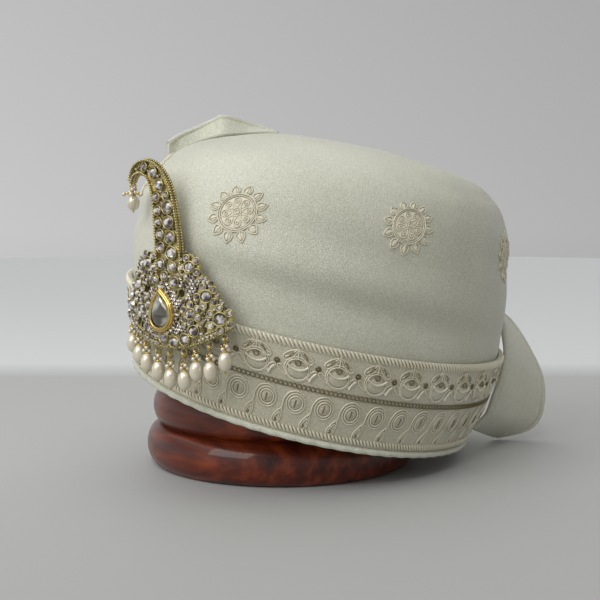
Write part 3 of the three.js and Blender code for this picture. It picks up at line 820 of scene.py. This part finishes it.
def set_stones(name, rows, nodes):
    """One piece of cut stones from rows of across, up, out, radius and height, in the place of its nodes."""
    shape = bmesh.new()
    for across, up, out, radius, tall in rows:
        add_stone(shape, (across, up, out), radius, tall)
    bmesh.ops.recalc_face_normals(shape, faces=shape.faces)
    stones = made(name, moved(shape, on_brooch), crystal, smooth=False)
    if nodes:
        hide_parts(*nodes)
    return stones


def numbered(name, count):
    return [f"{name}_{i:02d}" for i in range(1, count + 1)]


def seated(rows):
    return [(across, up, STONE_SEAT, radius, STONE_TALL) for across, up, radius in rows]


hearts = [(across, up, stone) for across, up, stone, count, reach in ROSETTES]
petals = []
for across, up, stone, count, reach in ROSETTES:
    for petal in range(count):
        turn = 2 * math.pi * (petal + 0.5) / count
        petals.append((across + reach * math.cos(turn), up + reach * math.sin(turn)))
petal_rows = [(x, y, PETAL_SEAT, PETAL_STONE, PETAL_TALL) for x, y in petals]
set_stones("plume_stones", seated(PLUME_STONES), numbered("plume_stone", len(PLUME_STONES)))
set_stones("lower_stones", seated(LOWER_STONES), numbered("lower_stone", len(LOWER_STONES)))
set_stones("rosette_stones", seated(hearts) + petal_rows, numbered("rosette_stone", len(ROSETTES)))
set_stones("upper_stones", seated(UPPER_STONES), [])

lone_stones = PLUME_STONES + LOWER_STONES + UPPER_STONES + hearts
bezels = [ring(across, up, radius + 0.4, 20, STONE_SEAT + 0.15) for across, up, radius in lone_stones]
bezels += [ring(x, y, PETAL_STONE + 0.2, 12, PETAL_SEAT) for x, y in petals]
bezel_wires = made("bezel_wires", moved(threads(bezels, 0.3, 1), on_brooch), gold)

# The centre drop
# A large drop of polished glass over silver foil, held by a smooth collar of bright gold, with a halo of
# small paved stones round it. The glass's dark and bright reflections are painted into its colour.
DROP_AT = (-1.6, -2.2)
DROP_SIZE = (10.8, 15.6)
COLLAR = 1.5
DROP_LIFT = 4
DROP_PROUD = 1.6


def drop_outline(width, height, steps=24):
    """A drop outline, pointed at the top and round at the bottom, centred on its own height."""
    radius = width / 2
    belly = radius - height / 2
    turns = np.linspace(math.pi, 2 * math.pi, steps)
    below = np.stack([radius * np.cos(turns), belly + radius * np.sin(turns)], -1)
    share = np.linspace(0, 1, steps)[1:, None]
    rise = height / 2 - belly
    knots = np.array([
        (radius, belly),
        (radius, belly + 0.5 * rise),
        (0.4 * radius, belly + 0.75 * rise),
        (0, height / 2),
    ])
    rest = 1 - share
    weights = np.hstack([rest**3, 3 * share * rest**2, 3 * share**2 * rest, share**3])
    right_side = weights @ knots
    left_side = right_side[-2:0:-1] * (-1, 1)
    return np.vstack([below, right_side, left_side])


def round_drop(grow, height):
    """A closed run round the drop, outside its glass by some millimetres."""
    points = drop_outline(DROP_SIZE[0] + 2 * grow, DROP_SIZE[1] + 2.6 * grow) + DROP_AT
    return [(x, y, height) for x, y in points], True


glass_edge = drop_outline(*DROP_SIZE)
belly_up = (DROP_SIZE[0] - DROP_SIZE[1]) / 2
edge_turns = np.arctan2(glass_edge[:, 1] - belly_up, glass_edge[:, 0])
edge_reach = np.hypot(glass_edge[:, 0], glass_edge[:, 1] - belly_up)


def on_drop(x, y, z):
    reach = np.interp(np.arctan2(y, x), edge_turns, edge_reach, period=2 * math.pi)
    return on_brooch(DROP_AT[0] + x * reach, DROP_AT[1] + belly_up + y * reach, DROP_LIFT + DROP_PROUD * z)


glass = bmesh.new()
bmesh.ops.create_uvsphere(glass, u_segments=48, v_segments=18, radius=1)
# Painted reflections: the base colour sweeps from dark grey to near white, standing for the broad dark and
# bright reflections in the polished glass.
foiled = Finish("glass_over_foil", {"Metallic": 0.92, "Roughness": 0.07, "Coat Weight": 0.8})
drop_reflection_sweep = foiled.noise(120, 1)
painted_drop_reflections = foiled.ramp(drop_reflection_sweep, [(0.42, colour(104, 101, 92)), (0.58, colour(240, 238, 230))])
foiled.feed("Base Color", painted_drop_reflections)
centre_drop = made("centre_drop", moved(glass, on_drop), foiled)
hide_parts("centre_stone")

# Partly painted highlight: the base colour varies at random from deep gold to a pale highlight tone; the same
# noise also varies the roughness.
bright = Finish("bright_gold", {"Metallic": 1})
polish_and_highlight = bright.noise(300, 2)
bright.feed("Base Color", bright.mix(polish_and_highlight, colour(188, 154, 72), colour(228, 204, 130)))
bright.feed("Roughness", 0.14 + 0.12 * polish_and_highlight)
collar_runs = [round_drop(0.55 * COLLAR, 4.5)]
collar_runs += [round_drop(COLLAR, height) for height in (2.2, 3.1, 4)]
drop_collar = made("drop_collar", moved(threads(collar_runs, 0.65, 3), on_brooch), bright)

# The beads and paving
# Rows of gold beads soldered along the plume's edges and the swag, and small stones paved over the rest of
# the body with a grain of gold at each corner.
SWAG_FOOT = -20.5
SWAG_BOW = 0.0105
SWAG_LOW_AT = 6
SWAG_ENDS = (-33, 32)
PLUME_FILL = [  # across, up
    (1.6, 21),
    (2, 28.6),
    (1.9, 35.2),
    (7.4, 34.4),
    (1.4, 41.4),
    (6.4, 41.3),
    (0.9, 47.4),
    (5.4, 47.8),
    (0.4, 52.6),
    (-3.6, 56.8),
    (-1, 60),
    (-7.2, 63.2),
    (-14, 66.2),
    (-17, 65.6),
]
BEAD_PITCH = 1.3
PAVE_PITCH = 1.95
PAVE_RADIUS = 0.9
PETAL_CLEAR = 1.6


def spaced(points, pitch):
    """Places along a line of points, evenly spaced."""
    steps = np.linalg.norm(np.diff(points, axis=0), axis=1)
    reach = np.concatenate([[0], np.cumsum(steps)])
    marks = np.linspace(0, reach[-1], max(2, round(reach[-1] / pitch) + 1))
    return np.stack([np.interp(marks, reach, column) for column in points.T], -1)


def swag_at(across):
    return SWAG_FOOT + SWAG_BOW * (across - SWAG_LOW_AT) ** 2


def inside(outline, x, y):
    """Whether a place lies within an outline."""
    starts = outline
    ends = np.roll(outline, -1, axis=0)
    crossed = (starts[:, 1] > y) != (ends[:, 1] > y)
    rise = np.where(crossed, ends[:, 1] - starts[:, 1], 1)
    at = starts[:, 0] + (y - starts[:, 1]) * (ends[:, 0] - starts[:, 0]) / rise
    return np.count_nonzero(crossed & (at > x)) % 2 == 1


plume_rows = read_rows(PLUME_COURSE, np.linspace(0, len(PLUME_COURSE) - 1, 90))
plume_way = np.gradient(plume_rows[:, :2], axis=0)
plume_way = plume_way / np.linalg.norm(plume_way, axis=1, keepdims=True)
plume_side = np.stack([plume_way[:, 1], -plume_way[:, 0]], -1)


def plume_edge(side, inset):
    """A line along one side of the plume, some way in from its edge."""
    return plume_rows[:, :2] + side * plume_side * (plume_rows[:, 2:] / 2 - inset)


bead_rows = bmesh.new()
for side in (-1, 1):
    for x, y in spaced(plume_edge(side, 0.55), BEAD_PITCH):
        add_bead(bead_rows, (x, y, PLATE + RIM_PROUD + 0.3), (0.64, 0.64, 0.64), 2)
    for x, y in spaced(plume_edge(side, -0.2), BEAD_PITCH):
        add_bead(bead_rows, (x, y, 1.2), (0.6, 0.6, 0.6), 2)
swag_across = np.linspace(*SWAG_ENDS, 40)
for rise in (0.6, 3.4):
    for x, y in spaced(np.stack([swag_across, swag_at(swag_across) + rise], -1), BEAD_PITCH):
        add_bead(bead_rows, (x, y, PLATE), (0.65, 0.65, 0.65), 2)
bead_edges = made("bead_edges", moved(bead_rows, on_brooch), gold)

taken = [(across, up, radius + 0.6) for across, up, radius in lone_stones]
taken += [(x, y, PETAL_CLEAR) for x, y in petals]
taken += BODY_HOLES
drop_ground = np.array(round_drop(COLLAR + 2.1, 0)[0])[:, :2]
plume_ground = np.vstack([plume_edge(-1, 0), plume_edge(1, 0)[::-1]])


def free(x, y):
    """Whether a paved stone is clear of the larger stones and the holes."""
    return all(math.hypot(x - tx, y - ty) > reach + 0.8 * PAVE_RADIUS for tx, ty, reach in taken)


paving = []
for x, y in spaced(np.array(round_drop(COLLAR + 1.1, 0)[0])[:, :2], PAVE_PITCH)[:-1]:
    paving.append((x, y, PLATE + 0.75, PAVE_RADIUS, 1.1))
for column in range(-19, 20):
    for row in range(-14, 18):
        x = PAVE_PITCH * (column + 0.5 * (row % 2))
        y = 0.87 * PAVE_PITCH * row - 0.2 * x
        off_drop = not inside(drop_ground, x, y)
        off_plume = y < 20 or not inside(plume_ground, x, y)
        on_body = inside(BODY_OUTLINE, x, y) and y > swag_at(x) + 4.2
        if free(x, y) and off_drop and off_plume and on_body:
            paving.append((x, y, PLATE + 0.65, PAVE_RADIUS, 1.1))
paving += [(across, up, PLATE + 0.6, 0.75, 1) for across, up in PLUME_FILL]
for x, y in spaced(np.stack([swag_across, swag_at(swag_across) + 2], -1), 2.1):
    if free(x, y):
        paving.append((x, y, PLATE + 0.5, 0.85, 1))
set_stones("paved_stones", paving, [])

grains = bmesh.new()
for x, y, out, radius, tall in paving:
    for turn in (0.5, 2.6, 4.7):
        place = (x + 1.15 * math.cos(turn), y + 1.15 * math.sin(turn), out + 0.15)
        add_bead(grains, place, (0.33, 0.33, 0.45))
gold_grains = made("gold_grains", moved(grains, on_brooch), gold)

# The pearl fringe
# Nine drop pearls on gold wire, each hung by a ring from an eyelet of the swag, with seed pearls and a gold
# cap over it and a pin head under it.
PEARL = (3.2, 4.7)
RING_DROP = 3.35
PEARL_DROPS = [  # across, length of the neck
    (-31.5, 1.7),
    (-23.8, 1.7),
    (-16.3, 1.7),
    (-7.4, 2.2),
    (0.9, 4.2),
    (9.2, 5.2),
    (15.6, 1.9),
    (22.8, 4.2),
    (30, 3.2),
]
EYELET = 1.5
RING_WIRE = 0.35
SEED = 1
SEED_PLACES = [  # aside, out, above the cap
    (1.5, 0.4, 0.9),
    (-1.1, 1.1, 1.1),
    (-0.6, -1.4, 1),
    (1.2, -0.9, 2.4),
]
GRAIN_PLACES = [  # aside, out, above the cap
    (-1.4, -0.2, 2.3),
    (0.3, 1.3, 2.6),
    (0.2, -1.2, 3),
]

pearl = Finish("drop_pearl", {"Coat Weight": 0.8, "Coat Roughness": 0.08, "Metallic": 0.4})
lustre = pearl.noise(240, 2)
pearl.feed("Base Color", pearl.mix(lustre, colour(204, 195, 170), colour(238, 231, 212)))
pearl.feed("Roughness", 0.25 + 0.12 * lustre)


def hung(across, up):
    """The upright frame of an eyelet, turned to face out of the brooch, in millimetres."""
    point = on_brooch(*(np.array([value]) for value in (across, up, PLATE / 2)))[0]
    turn = BROOCH_TWIST + across / BROOCH_BOW
    return Matrix.Translation(point) @ Matrix.Rotation(turn, 4, "Z") @ Matrix.Scale(mm, 4)


def add_ball(shape, place, centre, sizes, sides=12):
    spot = place @ Matrix.Translation(centre) @ Matrix.Diagonal((*sizes, 1))
    bmesh.ops.create_uvsphere(shape, u_segments=sides, v_segments=sides * 2 // 3, radius=1, matrix=spot)


def hanging_ring(place):
    """A jump ring through an eyelet, seen edge on from the side."""
    turns = [2 * math.pi * step / 14 for step in range(14)]
    return [place @ Vector((0, EYELET * math.cos(a), EYELET * (math.sin(a) - 1))) for a in turns], True


def add_fittings(place, neck, half, ring_runs, caps, seeds):
    """The ring, wire, cap and pin head of one drop, and the seed pearls over it."""
    top = -RING_DROP - neck
    ring_runs.append(hanging_ring(place))
    ring_runs.append(([place @ Vector((0, 0, height)) for height in (-2 * EYELET, top - 0.4)], False))
    add_ball(caps, place, (0, 0, top), (1.5, 1.5, 0.7))
    add_ball(caps, place, (0, 0, top - 2 * half - 0.3), (0.55, 0.55, 0.6), 8)
    for x, y, rise in SEED_PLACES:
        add_ball(seeds, place, (x, y, top + rise), (SEED, SEED, SEED), 10)
    for x, y, rise in GRAIN_PLACES:
        add_ball(caps, place, (x, y, top + rise), (0.7, 0.7, 0.7), 8)


ring_runs = []
beads = bmesh.new()
caps = bmesh.new()
seeds = bmesh.new()
for across, neck in PEARL_DROPS:
    place = hung(across, swag_at(across) - EYELET)
    add_ball(beads, place, (0, 0, -RING_DROP - neck - PEARL[1]), (PEARL[0], PEARL[0], PEARL[1]), 20)
    add_fittings(place, neck, PEARL[1], ring_runs, caps, seeds)
fringe_pearls = made("fringe_pearls", beads, pearl)
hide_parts(*numbered("pearl_drop", len(PEARL_DROPS)))
seed_pearls = made("seed_pearls", seeds, pearl)
fringe_caps = made("fringe_caps", caps, bright)
fringe_rings = made("fringe_rings", threads(ring_runs, RING_WIRE * mm, 1), bright)

# The tip drop
# One shorter pearl on a ring at the plume's tip, free to swing, under a spray of gold beads and seed pearls.
TIP_EYELET = (-24.35, 60.15)
TIP_PEARL = (3.1, 3.9)
TIP_NECK = 2.2
TIP_PETALS = 5

tip_place = hung(*TIP_EYELET)
tip_runs = []
tip_bead = bmesh.new()
tip_caps = bmesh.new()
tip_seeds = bmesh.new()
tip_centre = -RING_DROP - TIP_NECK - TIP_PEARL[1]
add_ball(tip_bead, tip_place, (0, 0, tip_centre), (TIP_PEARL[0], TIP_PEARL[0], TIP_PEARL[1]), 20)
add_fittings(tip_place, TIP_NECK, TIP_PEARL[1], tip_runs, tip_caps, tip_seeds)
for petal in range(TIP_PETALS):
    spray = tip_place @ Matrix.Rotation(2 * math.pi * petal / TIP_PETALS + 0.6, 4, "Z")
    add_ball(tip_caps, spray, (2.5, 0, -RING_DROP - TIP_NECK + 0.7), (1.6, 0.9, 0.7), 8)
    add_ball(tip_seeds, spray, (4.5, 0, -RING_DROP - TIP_NECK + 0.1), (SEED, SEED, SEED), 10)
tip_pearl = made("tip_pearl", tip_bead, pearl, "tip_pearl")
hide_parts("tip_drop")
made("tip_seeds", tip_seeds, pearl, "tip_pearl")
made("tip_caps", tip_caps, bright, "tip_pearl")
made("tip_ring", threads(tip_runs, RING_WIRE * mm, 1), bright, "tip_pearl")

# The studio
# A pale table top that meets a pale backdrop, both toned on one flat floor, darker at the front and
# brightened at the far end with painted light where the key light falls off; one large soft light from the
# upper left, a small one for sparkle, and a camera a little above the table before the left front of the
# turban.
TABLE_FRONT = 0.35
TABLE_END = 0.4
# Darker at the front, stepping up to the backdrop's tone past the table's edge, and rising further at the far
# end as painted light where the key light falls off.
TABLE_TONES_AND_PAINTED_LIGHT = [  # share of the way back, tone
    (0, colour(158, 159, 157)),
    (0.45, colour(182, 183, 181)),
    (0.88, colour(184, 185, 183)),
    (0.95, colour(206, 208, 208)),
    (1, colour(220, 222, 222)),
]
WORLD_LEVELS = [  # share of the way from straight down to straight up, brightness
    (0, 0.25),
    (0.45, 0.5),
    (0.5, 0.56),
    (0.62, 0.5),
    (0.72, 0.2),
    (0.86, 0.95),
    (1, 1.2),
]
WORLD_LEFT = 1.3
WORLD_RIGHT = 0.52
LIGHTS = [  # name, to the front, to the right, up, size, watts
    ("key", 0.85, -0.85, 0.85, 0.9, 8),
    ("sparkle", 0.9, -0.1, 0.8, 0.12, 1.5),
]
AIM = Vector((0, 0, 0.09))

front = Vector((math.sin(SIDE), -math.cos(SIDE), 0))
right = Vector((math.cos(SIDE), math.sin(SIDE), 0))
above = Vector((0, 0, 1))

floor_shape = bmesh.new()
bmesh.ops.create_grid(floor_shape, x_segments=1, y_segments=1, size=4)
floor_mesh = bpy.data.meshes.new("table_top")
floor_shape.to_mesh(floor_mesh)
floor_shape.free()
paper = Finish("pale_table", {"Roughness": 0.6})
backward = {0: paper.place, 1: tuple(-front)}
depth = paper.node("ShaderNodeVectorMath", {"operation": "DOT_PRODUCT"}, backward, 1)
stretch = paper.node("ShaderNodeMapRange", {}, {0: depth, 1: -TABLE_FRONT, 2: TABLE_END})
# The base colour follows the tones above, with painted light at the far end.
paper.feed("Base Color", paper.ramp(stretch, TABLE_TONES_AND_PAINTED_LIGHT))
floor_mesh.materials.append(paper.material)
table_top = bpy.data.objects.new("table_top", floor_mesh)
bpy.context.scene.collection.objects.link(table_top)

world = bpy.data.worlds.new("studio")
world.use_nodes = True
sky = world.node_tree
direction = sky.nodes.new("ShaderNodeTexCoord").outputs["Generated"]
parts = sky.nodes.new("ShaderNodeSeparateXYZ")
level = sky.nodes.new("ShaderNodeMapRange")
level.inputs["From Min"].default_value = -1
bands = sky.nodes.new("ShaderNodeValToRGB")
while len(bands.color_ramp.elements) < len(WORLD_LEVELS):
    bands.color_ramp.elements.new(1)
for element, (position, shade) in zip(bands.color_ramp.elements, WORLD_LEVELS):
    element.position = position
    element.color = (shade, shade, shade, 1)
aside = sky.nodes.new("ShaderNodeVectorMath")
aside.operation = "DOT_PRODUCT"
aside.inputs[1].default_value = right
strength = sky.nodes.new("ShaderNodeMapRange")
for socket, value in zip(("From Min", "From Max", "To Min", "To Max"), (-1, 1, WORLD_LEFT, WORLD_RIGHT)):
    strength.inputs[socket].default_value = value
sky.links.new(direction, aside.inputs[0])
sky.links.new(aside.outputs["Value"], strength.inputs["Value"])
sky.links.new(strength.outputs[0], sky.nodes["Background"].inputs["Strength"])
sky.links.new(direction, parts.inputs[0])
sky.links.new(parts.outputs["Z"], level.inputs["Value"])
sky.links.new(level.outputs[0], bands.inputs[0])
sky.links.new(bands.outputs[0], sky.nodes["Background"].inputs["Color"])
bpy.context.scene.world = world
bpy.context.scene.view_settings.view_transform = "Standard"

for name, to_front, to_right, rise, size, watts in LIGHTS:
    lamp = bpy.data.lights.new(name, "AREA")
    lamp.size = size
    lamp.energy = watts
    holder = bpy.data.objects.new(name, lamp)
    holder.location = front * to_front + right * to_right + above * rise
    holder.rotation_euler = (AIM - holder.location).to_track_quat("-Z", "Y").to_euler()
    bpy.context.scene.collection.objects.link(holder)

lens = bpy.data.cameras.new("camera")
lens.sensor_width = 36
lens.lens = 60
camera = bpy.data.objects.new("camera", lens)
camera.location = front * 0.560 + right * 0.010 + above * 0.127
camera.rotation_euler = (math.radians(86.1), 0, SIDE)
bpy.context.scene.collection.objects.link(camera)
bpy.context.scene.camera = camera
